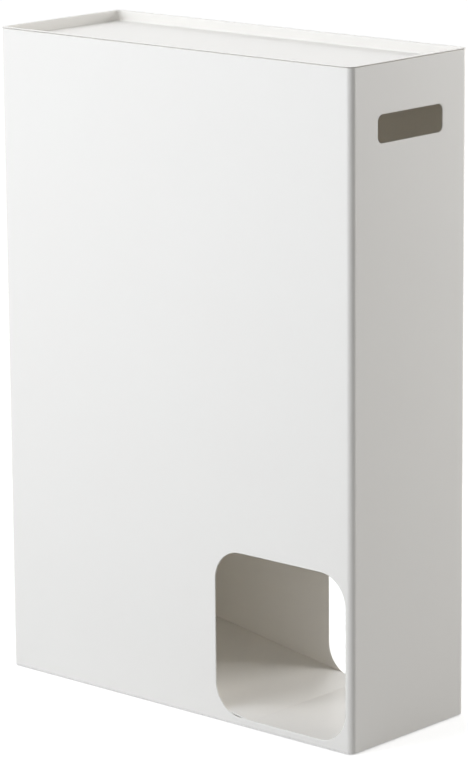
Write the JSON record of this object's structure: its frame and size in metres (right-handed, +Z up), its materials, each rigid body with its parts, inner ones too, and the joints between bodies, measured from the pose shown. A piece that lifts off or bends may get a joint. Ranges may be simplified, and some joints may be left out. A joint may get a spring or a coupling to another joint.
{
  "type": "freestanding toilet roll holder",
  "caption": "Slim upright steel case that stores toilet rolls in columns, with a sloping floor, a window at the foot, hand slots and a lift-off tray lid.",
  "frame": {"origin": "on the ground, under the middle of the case", "axes": "+Z up, -Y out of the front, +X towards the side with the window, which is the right when seen from the front"},
  "size_m": [0.3462, 0.1312, 0.5],
  "materials": {
    "body_shell": "semi-matte white powder coat on 1 mm sheet steel",
    "base_plate": "semi-matte white powder coat on 1 mm sheet steel",
    "sloped_floor": "semi-matte white powder coat on 1 mm sheet steel",
    "tray": "semi-matte white powder coat on 1 mm pressed steel",
    "foot_pad": "matte silicone rubber"
  },
  "bodies": {
    "case": {"body_shell": "body_shell", "base_plate": "base_plate", "sloped_floor": "sloped_floor", "foot_pad_front_left": "foot_pad", "foot_pad_front_right": "foot_pad", "foot_pad_back_left": "foot_pad", "foot_pad_back_right": "foot_pad"},
    "tray": {"tray": "tray"}
  },
  "joints": [
    {"name": "tray_lift", "type": "slide", "parent": "case", "child": "tray", "axis": [0, 0, 1], "range_m": [0, 0.04]}
  ]
}
